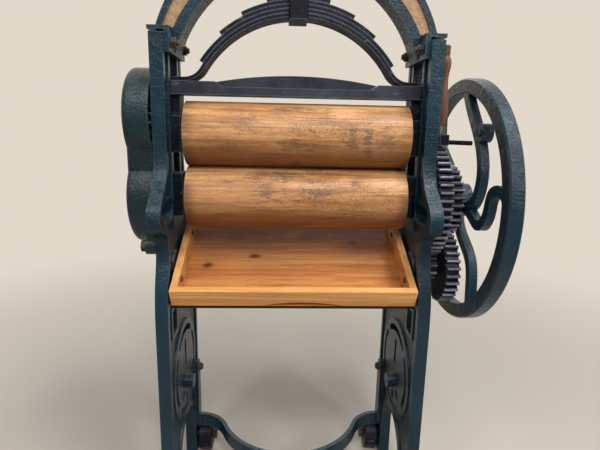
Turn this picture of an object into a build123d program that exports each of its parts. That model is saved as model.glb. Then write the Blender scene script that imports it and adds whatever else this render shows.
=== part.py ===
from build123d import *
from math import acos, cos, pi, radians, sin, sqrt, tan
import os

os.makedirs("parts", exist_ok=True)

# Sizes in millimetres. X runs along the rollers, Y from front to back, Z up from the floor.
# Distances along X are counted from the middle between the side frames.

running = 0.05              # radial clearance of a turning fit
bolt_room = 0.3             # radial clearance round a bolt
slide_room = 0.3            # clearance each side of a sliding block
fine = 0.3                  # gap between curved faces of neighbouring pieces
side_room = 2               # gap beside a turning gear

# Rollers
roller_long = 457.2
roller_radius = 65.8
roller_offset = 3
roller_room = 22.4          # roller end to frame, averaged over both sides
nip = 0.4
lower_z = 739
upper_z = lower_z + 2 * roller_radius + nip
shaft_radius = 12.5

# Side frames
frame_inner = roller_long / 2 + roller_room
frame_thick = 26
frame_outer = frame_inner + frame_thick
frame_rim = 13
web_thick = 10
web_recess = 4
frame_top = 1055
column_front = -84
column_back = 70
slot_half = 32
lower_slot_half = 27
bearing_below = 38.5
slot_step_z = upper_z - bearing_below + 1
slot_floor = lower_z - bearing_below
brow_z = 850
brow_drop = 66
brow_step = 14
nose_front = -155
nose_top = 738
nose_bottom = 690
nose_round = 18
chin_y = -97
chin_z = 655
leg_front = -126
leg_top = 440
leg_back = 176
knee_in = 12
knee_drop = 75
hip_z = 470
foot_front_inner = -60
foot_back_inner = 112
foot_arch_spring = 115
foot_arch_top = 200
window_y = -93
window_z = 723
window_long = 84
window_high = 34
window_rim = 8
leg_slot_y = -69
leg_slot_z = 483
leg_slot_wide = 36
leg_slot_high = 52
ring_y = 22
ring_z = 322
ring_outer = 104
ring_rim = 14
ring_gap = 14
ring_bridge = 20
ring_slit_low = 330
ring_slit_long = 66
ring_slit_wide = 15
ring_hub_z = ring_z - 34
ring_hub = 17
ring_hub_out = 18
fan_near = 28
fan_far = 52
fan_wide = 20

# Bearings, beam and push blocks
bearing_inner = frame_inner - 16
lower_bearing_top = lower_z + 51.5
upper_bearing_top = upper_z + 35.5
push_high = 42
push_half_wide = 20
push_room = 1
beam_low = upper_bearing_top + push_high
beam_thick = 26
beam_high = beam_low + beam_thick
beam_lip = beam_high - 10
beam_crest = beam_high + 18
beam_half_wide = 30
beam_half = frame_outer - 3
beam_inner_half = roller_long / 2 - 79
beam_ramp = 15
crest_half_wide = 9
crest_reach = 40

# Leaf spring
spring_z = 880
leaf_radius = frame_inner - 31
leaf_pitch = 8
leaf_thick = leaf_pitch - fine
leaf_half_wide = 25
main_leaf_angle = 58
leaf_angles = (55.5, 39.5, 26.5, 14, 7)
foot_reach = frame_inner - 3
buckle_half = 18.5
buckle_wall = 14
buckle_lip = 6
buckle_low = spring_z + leaf_radius - buckle_lip
buckle_high = spring_z + leaf_radius + leaf_pitch * (len(leaf_angles) + 1) + buckle_wall
buckle_half_wide = 33
buckle_round = 4

# Arch and pressure screw
arch_outer = frame_outer + 15.6
arch_outer_z = 982
arch_inner = frame_inner - 1
arch_inner_z = 955
arch_half_wide = 28
arch_rim_outer = 12
arch_rim_inner = 20
panel_recess = 4
back_recess = 16
arch_foot_z = frame_top + 6
arch_plate = 7
arch_plate_out = frame_outer + 5
arch_lug_low = frame_top - 33
arch_lug_thick = 10
lug_inner = frame_inner - arch_lug_thick
arch_lug_front = -74
arch_lug_back = 66
gusset_reach = sqrt(arch_inner ** 2 - (arch_foot_z - arch_inner_z) ** 2)
arch_crown = arch_outer_z + arch_outer
boss_radius = 30
boss_rise = 8
boss_drop = 6
screw_radius = 11
screw_wheel_z = arch_crown + 55
screw_top = screw_wheel_z + 22
screw_wheel_radius = 70
screw_wheel_bar = 8
screw_hub = 24
screw_hub_high = 30
screw_arm_wide = 13
screw_arm_high = 10

# Fasteners
bolt_radius = 7
bolt_head = 12
bolt_head_thick = 10
arch_bolt_radius = 5.5
arch_bolt_head = 10
arch_bolt_sunk = 8
arch_bolt_spare = 5
arch_nut_high = 9
arch_bolt_places = ((-52, frame_top - 14), (46, frame_top - 14))

# Tray
tray_half = frame_inner - 3
tray_front = leg_front
tray_top_z = 568
tray_slope = 26.6
tray_long = 256
tray_high = 40
tray_wall = 14
tray_floor_thick = 8
arch_cut_middle = 16
arch_cut_half = 84
arch_cut_high = 10
tray_screw_near = 50
tray_screw_far = 200
tray_screw_down = 14
tray_screw_head = 7
tray_screw_thick = 3
ledge_under = 16
ledge_thick = 12
ledge_short = 40

# Stretcher and rear wheels
stretcher_radius = frame_inner - 69
stretcher_centre_y = 152
stretcher_low = 90
stretcher_high = 124
stretcher_thick = 10
stretcher_sweep = 68
pad_high = 280
pad_front = 118
pad_back = 150
pad_round = 12
pad_bolt_y = (pad_front + pad_back) / 2
pad_bolt_z = 262
wheel_y = 158
rear_wheel_radius = 40
rear_wheel_z = 44
rear_wheel_wide = 34
rear_wheel_outer = frame_inner - 5
rear_wheel_inner = rear_wheel_outer - rear_wheel_wide
rear_wheel_round = 4
axle_radius = 8
axle_collar = 14
axle_end = 8

# Gears
pressure_angle = 20
tooth_share = 0.42
tooth_head = 0.9
tooth_foot = 1.2
coupling_teeth = 22
coupling_module = (upper_z - lower_z) / coupling_teeth
coupling_in = frame_outer + 6
coupling_out = coupling_in + 35
shaft_left_end = coupling_out + 4
drive_module = 5
output_teeth = 48
pinion_teeth = 10
fly_teeth = 29
train_distance = drive_module * (output_teeth + pinion_teeth) / 2
lay_y = -36
lay_z = lower_z - sqrt(train_distance ** 2 - lay_y ** 2)
output_in = frame_outer + side_room
output_out = output_in + 26
output_dish = 8
output_hub = 30
output_rim = 18
output_holes = 5
output_hole = 24
lay_gear_in = output_out + 2 * side_room
lay_gear_out = lay_gear_in + 28
fly_pinion_in = output_out + 10
fly_pinion_out = fly_pinion_in + 30
stud_radius = 10
stud_boss = 30
stud_spare = 7.5
lay_nut_thick = 6
lay_hub = 17
nut_gap = 0.5
upper_shaft_right = frame_outer - 1

# Flywheel
fly_radius = 256
fly_rim = 30
fly_rim_thin = 27
fly_edge = 3
fly_in = fly_pinion_out + 2
fly_out = fly_in + 28
fly_hub = 36
fly_hub_out = fly_out + 5
right_reach = fly_hub_out + 10
spoke_in = fly_in + 1
spoke_out = spoke_in + 16
spoke_wide = 20
# spoke middles in parts of the wheel's radius, from its centre
upper_spoke = (
    (-0.047, 0.949),
    (-0.278, 0.635),
    (-0.439, 0.412),
    (-0.478, 0.235),
    (-0.384, 0.031),
    (-0.235, -0.024),
    (-0.098, -0.008),
)
front_spoke = (
    (-0.235, -0.024),
    (-0.384, -0.067),
    (-0.533, -0.114),
    (-0.643, -0.008),
    (-0.686, 0.137),
    (-0.765, 0.180),
    (-0.949, 0.047),
)
lower_spoke = (
    (-0.086, -0.086),
    (-0.298, -0.325),
    (-0.431, -0.439),
    (-0.467, -0.549),
    (-0.502, -0.808),
)
crank_boss = 18
crank_boss_y = -0.43 * fly_radius
crank_boss_z = 0.57 * fly_radius
crank_boss_out = 3
crank_head_radius = 8
crank_head_thick = 4

# Gear cover
cover_wall = 5
cover_outer = coupling_out + 14
cover_inner = frame_outer + 4
cover_lower = 97
cover_upper = 98
cover_upper_z = upper_z + 30.5
cover_neck = 77
cover_neck_low = 780
cover_neck_high = 865
cover_round = 12
cover_ear_y = -85
cover_ear_z = 650
cover_ear = 17
cover_ear_thick = 20
cover_tab_y = -73
cover_tab_z = 672
cover_tab_wide = 28
cover_tab_high = 40

# Handle
handle_x = frame_outer + 13
handle_y = -54
handle_low = lower_z + 120
handle_arm_thick = 21
handle_arm_wide = 26
handle_arm_end = 18
handle_plate = 8
handle_plate_wide = 36
ferrule_radius = 10
ferrule_high = 15
grip_long = 135
grip_radius = 11
grip_gap = 1
handle_nut_high = 8
handle_nut = 7.5
spindle_radius = 5
spindle_spare = 20
cross_rod = 4.5
cross_rod_forward = 40
cross_rod_rise = 6
cross_rod_room = 8

left_reach = cover_outer
mid_x = (left_reach - right_reach) / 2


def gear_outline(teeth, module, first, centre):
    """Corner points of a spur gear round centre, one tooth on the angle first, in degrees."""
    pitch = module * teeth / 2
    base = pitch * cos(radians(pressure_angle))
    tip = pitch + tooth_head * module
    root = pitch - tooth_foot * module
    low = max(base, root)
    steps = 4
    radii = [low + (tip - low) * step / steps for step in range(steps + 1)]
    if root < low:
        radii.insert(0, root)
    half = pi * tooth_share / teeth
    points = []
    for tooth in range(teeth):
        middle = radians(first) + 2 * pi * tooth / teeth
        flank = []
        for radius in radii:
            flank.append((radius, half + roll(base, pitch) - roll(base, radius)))
        turned = [(radius, middle - angle) for radius, angle in flank]
        turned += [(radius, middle + angle) for radius, angle in reversed(flank)]
        for radius, angle in turned:
            points.append((centre[0] + radius * cos(angle), centre[1] + radius * sin(angle)))
    return points


def roll(base, radius):
    """Involute angle of a radius on the given base circle."""
    turn = acos(min(1, base / radius))
    return tan(turn) - turn


def ribbon_edges(route, half):
    """Points along both sides of a flat ribbon that follows the route."""
    left = []
    right = []
    steps = 14
    for step in range(steps + 1):
        point = route @ (step / steps)
        along = route % (step / steps)
        left.append((point.X - half * along.Y, point.Y + half * along.X))
        right.append((point.X + half * along.Y, point.Y - half * along.X))
    return left, right


def side_plane(x):
    """A plane across the rollers at a distance from the frame middle, drawn in Y and Z."""
    return Plane.YZ.offset(mid_x + x)


def draw_frame_edge(inset):
    """Closed edge of a side frame in Y and Z, or the same edge moved inwards by inset."""
    front = column_front + inset
    nose = nose_front + inset
    chin = chin_y + inset
    shin = leg_front + inset
    back = column_back - inset
    heel = leg_back - inset
    top = frame_top - inset
    Line((front, top), (front, brow_z))
    Spline(
        (front, brow_z),
        (front - brow_step, brow_z - brow_drop - inset),
        (nose + brow_step, nose_top + 6 - inset),
        (nose, nose_bottom + nose_round),
        tangents=[(0, -1), (0, -1)],
    )
    Spline(
        (nose, nose_bottom + nose_round),
        (nose + 16, nose_bottom - 2 + inset),
        (chin, chin_z),
        tangents=[(0, -1), (0.1, -1)],
    )
    Spline(
        (chin, chin_z),
        (shin + knee_in, chin_z - knee_drop),
        (shin, leg_top),
        tangents=[(0.1, -1), (0, -1)],
    )
    Polyline(
        (shin, leg_top),
        (shin, inset),
        (foot_front_inner - inset, inset),
        (foot_front_inner - inset, foot_arch_spring),
    )
    ThreePointArc(
        (foot_front_inner - inset, foot_arch_spring),
        ((foot_front_inner + foot_back_inner) / 2, foot_arch_top + inset),
        (foot_back_inner + inset, foot_arch_spring),
    )
    Polyline(
        (foot_back_inner + inset, foot_arch_spring),
        (foot_back_inner + inset, inset),
        (heel, inset),
        (heel, hip_z),
    )
    Spline(
        (heel, hip_z),
        ((heel + back) / 2, (hip_z + brow_z) / 2),
        (back, brow_z),
        tangents=[(0, 1), (0, 1)],
    )
    Polyline((back, brow_z), (back, top), (front, top))


# Side frames, right and left
for side, name in ((1, "right"), (-1, "left")):
    inner = side * frame_inner
    with BuildSketch(side_plane(inner)) as frame_outline:
        with BuildLine():
            draw_frame_edge(0)
        make_face()
    with BuildSketch(side_plane(inner)) as frame_pocket:
        with BuildLine():
            draw_frame_edge(frame_rim)
        make_face()
        with Locations((ring_y, ring_z)):
            Circle(ring_outer + ring_rim, mode=Mode.SUBTRACT)
        with Locations((0, (slot_floor + frame_top) / 2)):
            Rectangle(2 * (slot_half + frame_rim), frame_top - slot_floor + 4 * frame_rim, mode=Mode.SUBTRACT)
        with Locations((window_y, window_z)):
            SlotOverall(window_long + 2 * window_rim, window_high + 2 * window_rim, mode=Mode.SUBTRACT)
        with Locations((leg_slot_y, leg_slot_z)):
            Rectangle(leg_slot_wide + 2 * window_rim, leg_slot_high + 2 * window_rim, mode=Mode.SUBTRACT)
        with Locations((lay_y, lay_z)):
            Circle(stud_boss, mode=Mode.SUBTRACT)
    with BuildPart() as frame:
        with BuildSketch(side_plane(inner)) as slab_sketch:
            add(frame_outline.sketch_local)
        extrude(amount=side * frame_thick)
        with BuildSketch(side_plane(inner)) as inner_pocket:
            add(frame_pocket.sketch_local)
        extrude(amount=side * web_recess, mode=Mode.SUBTRACT)
        with BuildSketch(side_plane(side * frame_outer)) as outer_pocket:
            add(frame_pocket.sketch_local)
        extrude(amount=-side * (frame_thick - web_recess - web_thick), mode=Mode.SUBTRACT)
        with BuildSketch(side_plane(inner)) as frame_holes:
            with Locations((0, (slot_floor + frame_top) / 2)):
                Rectangle(2 * lower_slot_half, frame_top - slot_floor)
            with Locations((0, (slot_step_z + frame_top) / 2)):
                Rectangle(2 * slot_half, frame_top - slot_step_z)
            with Locations((window_y, window_z)):
                SlotOverall(window_long, window_high)
            with Locations((leg_slot_y, leg_slot_z)):
                Rectangle(leg_slot_wide, leg_slot_high)
            with Locations(*arch_bolt_places):
                Circle(arch_bolt_radius + bolt_room)
            with Locations((pad_bolt_y, pad_bolt_z)):
                Circle(bolt_radius + bolt_room)
            with Locations((wheel_y, rear_wheel_z)):
                Circle(axle_radius + bolt_room)
            if side > 0:
                with Locations((lay_y, lay_z)):
                    Circle(stud_radius + bolt_room)
        extrude(amount=side * frame_thick, mode=Mode.SUBTRACT)
        with BuildSketch(side_plane(side * frame_outer)) as head_sinks:
            with Locations(*arch_bolt_places):
                Circle(arch_bolt_head + bolt_room)
        extrude(amount=-side * arch_bolt_sunk, mode=Mode.SUBTRACT)
        with BuildSketch(side_plane(inner)) as ring_opening:
            with Locations((ring_y, ring_z)):
                Circle(ring_outer)
                Circle(ring_outer - ring_gap, mode=Mode.SUBTRACT)
                with PolarLocations(ring_outer - ring_gap / 2, 4, start_angle=45):
                    Rectangle(2 * ring_gap, ring_bridge, mode=Mode.SUBTRACT)
            with Locations((ring_y, ring_slit_low + ring_slit_long / 2)):
                SlotOverall(ring_slit_long, ring_slit_wide, rotation=90)
            with Locations((ring_y, ring_hub_z)):
                with PolarLocations((fan_near + fan_far) / 2, 3, start_angle=210, angular_range=180):
                    SlotOverall(fan_far - fan_near + 1, fan_wide)
        extrude(amount=side * frame_thick, mode=Mode.SUBTRACT)
        with BuildSketch(side_plane(inner)) as ring_hub_sketch:
            with Locations((ring_y, ring_hub_z)):
                Circle(ring_hub)
        extrude(amount=-side * ring_hub_out)
        with BuildSketch(Plane(
            origin=(mid_x + side * (tray_half - ledge_under), tray_front, tray_top_z),
            x_dir=(0, cos(radians(tray_slope)), sin(radians(tray_slope))),
            z_dir=(1, 0, 0),
        )) as ledge_sketch:
            with Locations((tray_long / 2, -tray_high - tray_floor_thick - ledge_thick / 2)):
                Rectangle(tray_long - ledge_short, ledge_thick)
        extrude(amount=side * (frame_inner + web_recess + 1 - tray_half + ledge_under))
    frame.part.label = name + "_side_frame"
    export_step(frame.part, "parts/" + name + "_side_frame.step")

# Top arch with its feet and crown boss
with BuildPart() as arch:
    with BuildSketch(Plane.XZ.offset(-arch_half_wide)) as arch_band:
        with Locations((mid_x, arch_outer_z)):
            Circle(arch_outer)
        with Locations((mid_x, arch_inner_z)):
            Circle(arch_inner, mode=Mode.SUBTRACT)
        with Locations((mid_x, arch_foot_z - arch_outer)):
            Rectangle(3 * arch_outer, 2 * arch_outer, mode=Mode.SUBTRACT)
    extrude(amount=2 * arch_half_wide)
    with BuildSketch(Plane.XZ.offset(arch_half_wide)) as front_panel:
        with Locations((mid_x, arch_outer_z)):
            Circle(arch_outer - arch_rim_outer)
        with Locations((mid_x, arch_inner_z)):
            Circle(arch_inner + arch_rim_inner, mode=Mode.SUBTRACT)
        with Locations((mid_x, arch_foot_z + arch_rim_outer - arch_outer)):
            Rectangle(3 * arch_outer, 2 * arch_outer, mode=Mode.SUBTRACT)
    extrude(amount=-panel_recess, mode=Mode.SUBTRACT)
    with BuildSketch(Plane.XZ.offset(-arch_half_wide)) as back_panel:
        add(front_panel.sketch_local)
    extrude(amount=back_recess, mode=Mode.SUBTRACT)
    for side in (1, -1):
        with BuildSketch(Plane.XY.offset(arch_foot_z)) as foot_plate:
            plate_x = mid_x + side * (arch_plate_out + lug_inner) / 2
            with Locations((plate_x, (arch_lug_front + arch_lug_back) / 2)):
                Rectangle(arch_plate_out - lug_inner, arch_lug_back - arch_lug_front)
        extrude(amount=arch_plate)
        with BuildSketch(side_plane(side * lug_inner)) as foot_lug:
            with Locations(((arch_lug_front + arch_lug_back) / 2, (arch_lug_low + arch_foot_z) / 2)):
                Rectangle(arch_lug_back - arch_lug_front, arch_foot_z - arch_lug_low + 1)
        extrude(amount=side * arch_lug_thick)
        with BuildSketch(side_plane(side * lug_inner)) as foot_tongue:
            with Locations((0, (arch_lug_low + arch_foot_z) / 2)):
                Rectangle(2 * arch_half_wide, arch_foot_z - arch_lug_low + 1)
        extrude(amount=side * (frame_outer - lug_inner))
        with BuildSketch(Plane.XZ.offset(-arch_half_wide)) as foot_gusset:
            with BuildLine():
                Polyline(
                    (mid_x + side * lug_inner, arch_foot_z + 1),
                    (mid_x + side * gusset_reach, arch_foot_z + 1),
                    (mid_x + side * lug_inner, arch_lug_low),
                    close=True,
                )
            make_face()
        extrude(amount=2 * arch_half_wide)
        with BuildSketch(side_plane(side * (lug_inner - 1))) as foot_holes:
            with Locations(*arch_bolt_places):
                Circle(arch_bolt_radius + bolt_room)
        extrude(amount=side * (arch_lug_thick + 2), mode=Mode.SUBTRACT)
    with BuildSketch(Plane.XY.offset(arch_inner_z + arch_inner - boss_drop)) as boss_sketch:
        with Locations((mid_x, 0)):
            Circle(boss_radius)
    extrude(amount=arch_crown + boss_rise + boss_drop - arch_inner_z - arch_inner)
    with BuildSketch(Plane.XY.offset(arch_inner_z)) as screw_hole:
        with Locations((mid_x, 0)):
            Circle(screw_radius + running)
    extrude(amount=screw_top - arch_inner_z, mode=Mode.SUBTRACT)
arch.part.label = "top_arch"
export_step(arch.part, "parts/top_arch.step")

# Bolts and nuts that hold the arch to the frames
with BuildPart() as arch_bolts:
    for side in (1, -1):
        with BuildSketch(side_plane(side * frame_outer)) as head_sketch:
            with Locations(*arch_bolt_places):
                Circle(arch_bolt_head)
        extrude(amount=-side * arch_bolt_sunk)
        with BuildSketch(side_plane(side * frame_outer)) as shank_sketch:
            with Locations(*arch_bolt_places):
                Circle(arch_bolt_radius)
        extrude(amount=-side * (frame_outer - lug_inner + arch_nut_high + arch_bolt_spare))
arch_bolts.part.label = "arch_bolts"
export_step(arch_bolts.part, "parts/arch_bolts.step")

with BuildPart() as arch_nuts:
    for side in (1, -1):
        with BuildSketch(side_plane(side * lug_inner)) as nut_sketch:
            with Locations(*arch_bolt_places):
                RegularPolygon(arch_bolt_head, 6)
                Circle(arch_bolt_radius + bolt_room, mode=Mode.SUBTRACT)
        extrude(amount=-side * arch_nut_high)
arch_nuts.part.label = "arch_nuts"
export_step(arch_nuts.part, "parts/arch_nuts.step")

# Pressure screw and its handwheel
with BuildPart() as pressure_screw:
    with BuildSketch(Plane.XY.offset(buckle_high)) as screw_sketch:
        with Locations((mid_x, 0)):
            Circle(screw_radius)
    extrude(amount=screw_top - buckle_high)
pressure_screw.part.label = "pressure_screw"
export_step(pressure_screw.part, "parts/pressure_screw.step")

with BuildPart() as handwheel:
    with BuildSketch(
        Plane(origin=(mid_x, 0, screw_wheel_z), x_dir=(1, 0, 0), z_dir=(0, -1, 0))
    ) as wheel_section:
        with Locations((screw_wheel_radius, 0)):
            Circle(screw_wheel_bar)
        with Locations(((screw_radius + screw_hub) / 2, 0)):
            Rectangle(screw_hub - screw_radius, screw_hub_high)
    revolve(axis=Axis((mid_x, 0, 0), (0, 0, 1)))
    with BuildSketch(Plane.XY.offset(screw_wheel_z - screw_arm_high / 2)) as wheel_arms:
        with Locations((mid_x, 0)):
            with PolarLocations((screw_wheel_radius + screw_hub) / 2 - 2, 4):
                Rectangle(screw_wheel_radius - screw_hub + 4, screw_arm_wide)
    extrude(amount=screw_arm_high)
handwheel.part.label = "screw_handwheel"
export_step(handwheel.part, "parts/screw_handwheel.step")

# Spring leaves
with BuildPart() as main_leaf:
    angle = radians(main_leaf_angle)
    middle_radius = leaf_radius + leaf_thick / 2
    foot_middle = beam_high + leaf_thick / 2
    bend = ((middle_radius * cos(angle)) - (foot_middle - spring_z)) / (1 - cos(angle))
    bend_x = mid_x + (middle_radius + bend) * sin(angle)
    bend_z = spring_z + (middle_radius + bend) * cos(angle)
    under = bend + leaf_thick / 2
    over = bend - leaf_thick / 2
    with BuildSketch(Plane.XZ) as leaf_half:
        with BuildLine():
            low_arc = CenterArc((mid_x, spring_z), leaf_radius, 90 - main_leaf_angle, main_leaf_angle)
            high_arc = CenterArc(
                (mid_x, spring_z), leaf_radius + leaf_thick, 90 - main_leaf_angle, main_leaf_angle
            )
            low_bend = CenterArc((bend_x, bend_z), under, 270 - main_leaf_angle, main_leaf_angle)
            high_bend = CenterArc((bend_x, bend_z), over, 270 - main_leaf_angle, main_leaf_angle)
            Polyline(
                low_bend @ 1,
                (mid_x + foot_reach, beam_high),
                (mid_x + foot_reach, beam_high + leaf_thick),
                high_bend @ 1,
            )
            Line(low_arc @ 1, high_arc @ 1)
        make_face()
    extrude(amount=leaf_half_wide, both=True)
    mirror(about=Plane.YZ.offset(mid_x))
main_leaf.part.label = "spring_leaf_1"
export_step(main_leaf.part, "parts/spring_leaf_1.step")

for number, half_angle in enumerate(leaf_angles, 2):
    leaf_in = leaf_radius + leaf_pitch * (number - 1)
    with BuildPart() as leaf:
        with BuildSketch(Plane.XZ) as leaf_sketch:
            with BuildLine():
                inside = CenterArc((mid_x, spring_z), leaf_in, 90 - half_angle, 2 * half_angle)
                outside = CenterArc((mid_x, spring_z), leaf_in + leaf_thick, 90 - half_angle, 2 * half_angle)
                Line(inside @ 0, outside @ 0)
                Line(inside @ 1, outside @ 1)
            make_face()
        extrude(amount=leaf_half_wide, both=True)
    leaf.part.label = "spring_leaf_" + str(number)
    export_step(leaf.part, "parts/spring_leaf_" + str(number) + ".step")

with BuildPart() as buckle:
    with BuildSketch(Plane.XZ) as buckle_face:
        with Locations((mid_x, (buckle_low + buckle_high) / 2)):
            Rectangle(2 * buckle_half, buckle_high - buckle_low)
    extrude(amount=buckle_half_wide, both=True)
    fillet(buckle.edges().filter_by(Axis.Z), buckle_round)
    with BuildSketch(Plane.XZ) as leaf_pack:
        with Locations((mid_x, spring_z)):
            Circle(leaf_radius + leaf_pitch * (len(leaf_angles) + 1))
            Circle(leaf_radius - fine, mode=Mode.SUBTRACT)
    extrude(amount=leaf_half_wide + fine, both=True, mode=Mode.SUBTRACT)
buckle.part.label = "spring_buckle"
export_step(buckle.part, "parts/spring_buckle.step")

# Pressure beam, its push blocks and the upper bearings
with BuildPart() as beam:
    with BuildSketch(Plane.XZ) as beam_bar:
        with BuildLine():
            Polyline(
                (mid_x - beam_half, beam_low),
                (mid_x + beam_half, beam_low),
                (mid_x + beam_half, beam_high),
                (mid_x + beam_inner_half + beam_ramp, beam_high),
                (mid_x + beam_inner_half, beam_lip),
                (mid_x - beam_inner_half, beam_lip),
                (mid_x - beam_inner_half - beam_ramp, beam_high),
                (mid_x - beam_half, beam_high),
                close=True,
            )
        make_face()
    extrude(amount=beam_half_wide, both=True)
    with BuildSketch(Plane.XZ.offset(-beam_half_wide + crest_half_wide)) as crest_sketch:
        with BuildLine():
            ThreePointArc(
                (mid_x - beam_inner_half - crest_reach, beam_high - 2),
                (mid_x, beam_crest),
                (mid_x + beam_inner_half + crest_reach, beam_high - 2),
            )
            Polyline(
                (mid_x + beam_inner_half + crest_reach, beam_high - 2),
                (mid_x + beam_inner_half + crest_reach, beam_lip - 4),
                (mid_x - beam_inner_half - crest_reach, beam_lip - 4),
                (mid_x - beam_inner_half - crest_reach, beam_high - 2),
            )
        make_face()
    extrude(amount=crest_half_wide, both=True)
beam.part.label = "pressure_beam"
export_step(beam.part, "parts/pressure_beam.step")

for side, name in ((1, "right"), (-1, "left")):
    with BuildPart() as push_block:
        with BuildSketch(side_plane(side * (bearing_inner + push_room))) as push_sketch:
            with Locations((0, (upper_bearing_top + beam_low) / 2)):
                Rectangle(2 * push_half_wide, beam_low - upper_bearing_top)
        extrude(amount=side * (beam_half - bearing_inner - push_room))
    push_block.part.label = name + "_push_block"
    export_step(push_block.part, "parts/" + name + "_push_block.step")
    for level, half, low, high, axis_z in (
        ("upper", slot_half, slot_step_z, upper_bearing_top, upper_z),
        ("lower", lower_slot_half, slot_floor, lower_bearing_top, lower_z),
    ):
        with BuildPart() as bearing:
            with BuildSketch(side_plane(side * bearing_inner)) as block_sketch:
                with Locations((0, (low + high) / 2)):
                    Rectangle(2 * (half - slide_room), high - low)
                with Locations((0, axis_z)):
                    Circle(shaft_radius + running, mode=Mode.SUBTRACT)
            extrude(amount=side * (frame_outer - bearing_inner))
        bearing.part.label = level + "_bearing_" + name
        export_step(bearing.part, "parts/" + level + "_bearing_" + name + ".step")

# Rollers and their shafts
for level, axis_z, right_end in (
    ("upper", upper_z, upper_shaft_right),
    ("lower", lower_z, right_reach),
):
    with BuildPart() as roller:
        with BuildSketch(side_plane(roller_offset - roller_long / 2)) as roller_sketch:
            with Locations((0, axis_z)):
                Circle(roller_radius)
                Circle(shaft_radius, mode=Mode.SUBTRACT)
        extrude(amount=roller_long)
    roller.part.label = level + "_roller"
    export_step(roller.part, "parts/" + level + "_roller.step")
    with BuildPart() as shaft:
        with BuildSketch(side_plane(-shaft_left_end)) as shaft_sketch:
            with Locations((0, axis_z)):
                Circle(shaft_radius)
        extrude(amount=shaft_left_end + right_end)
    shaft.part.label = level + "_shaft"
    export_step(shaft.part, "parts/" + level + "_shaft.step")

# Coupling gears on the left: the lower one has a tooth on the line of centres
for level, axis_z, first in (
    ("lower", lower_z, 90),
    ("upper", upper_z, 270 + 180 / coupling_teeth),
):
    with BuildPart() as coupling_gear:
        with BuildSketch(side_plane(-coupling_out)) as coupling_sketch:
            with BuildLine():
                teeth_points = gear_outline(coupling_teeth, coupling_module, first, (0, axis_z))
                Polyline(*teeth_points, close=True)
            make_face()
            with Locations((0, axis_z)):
                Circle(shaft_radius, mode=Mode.SUBTRACT)
        extrude(amount=coupling_out - coupling_in)
    coupling_gear.part.label = level + "_coupling_gear"
    export_step(coupling_gear.part, "parts/" + level + "_coupling_gear.step")

# Back gearing on the right
train_angle = 270 - (180 / pi) * acos((lower_z - lay_z) / train_distance)
for node, teeth, x_in, x_out, bore, centre, first in (
    ("output_gear", output_teeth, output_in, output_out, shaft_radius, (0, lower_z), train_angle),
    ("lay_pinion", pinion_teeth, output_in, output_out, stud_radius + running, (lay_y, lay_z),
     train_angle - 180 + 180 / pinion_teeth),
    ("lay_gear", fly_teeth, lay_gear_in, lay_gear_out, stud_radius + running, (lay_y, lay_z),
     train_angle - 180 + 180 / fly_teeth),
    ("flywheel_pinion", fly_teeth, fly_pinion_in, fly_pinion_out, shaft_radius + running, (0, lower_z),
     train_angle),
):
    with BuildPart() as gear:
        with BuildSketch(side_plane(x_in)) as gear_sketch:
            with BuildLine():
                Polyline(*gear_outline(teeth, drive_module, first, centre), close=True)
            make_face()
        extrude(amount=x_out - x_in)
        if node == "lay_gear":
            with BuildSketch(side_plane(output_out)) as sleeve_sketch:
                with Locations(centre):
                    Circle(lay_hub)
            extrude(amount=lay_gear_in - output_out)
        if node == "output_gear":
            with BuildSketch(side_plane(x_out)) as dish_sketch:
                with Locations(centre):
                    Circle(drive_module * teeth / 2 - output_rim)
                    Circle(output_hub, mode=Mode.SUBTRACT)
            extrude(amount=-output_dish, mode=Mode.SUBTRACT)
            with BuildSketch(side_plane(x_in)) as hole_sketch:
                with Locations(centre):
                    with PolarLocations(drive_module * teeth / 4 + 7, output_holes):
                        Circle(output_hole)
            extrude(amount=x_out - x_in, mode=Mode.SUBTRACT)
        with BuildSketch(side_plane(output_in)) as gear_bore:
            with Locations(centre):
                Circle(bore)
        extrude(amount=fly_out - output_in, mode=Mode.SUBTRACT)
    gear.part.label = node
    export_step(gear.part, "parts/" + node + ".step")

with BuildPart() as lay_stud:
    with BuildSketch(side_plane(frame_inner + 1)) as stud_bar:
        with Locations((lay_y, lay_z)):
            Circle(stud_radius)
    extrude(amount=lay_gear_out + stud_spare - frame_inner - 1)
    with BuildSketch(side_plane(frame_outer)) as stud_collar:
        with Locations((lay_y, lay_z)):
            Circle(lay_hub)
    extrude(amount=output_in - frame_outer - nut_gap)
lay_stud.part.label = "lay_stud"
export_step(lay_stud.part, "parts/lay_stud.step")

with BuildPart() as lay_nut:
    with BuildSketch(side_plane(lay_gear_out + nut_gap)) as lay_nut_sketch:
        with Locations((lay_y, lay_z)):
            RegularPolygon(bolt_head + 4, 6)
            Circle(stud_radius, mode=Mode.SUBTRACT)
    extrude(amount=lay_nut_thick)
lay_nut.part.label = "lay_stud_nut"
export_step(lay_nut.part, "parts/lay_stud_nut.step")

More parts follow.
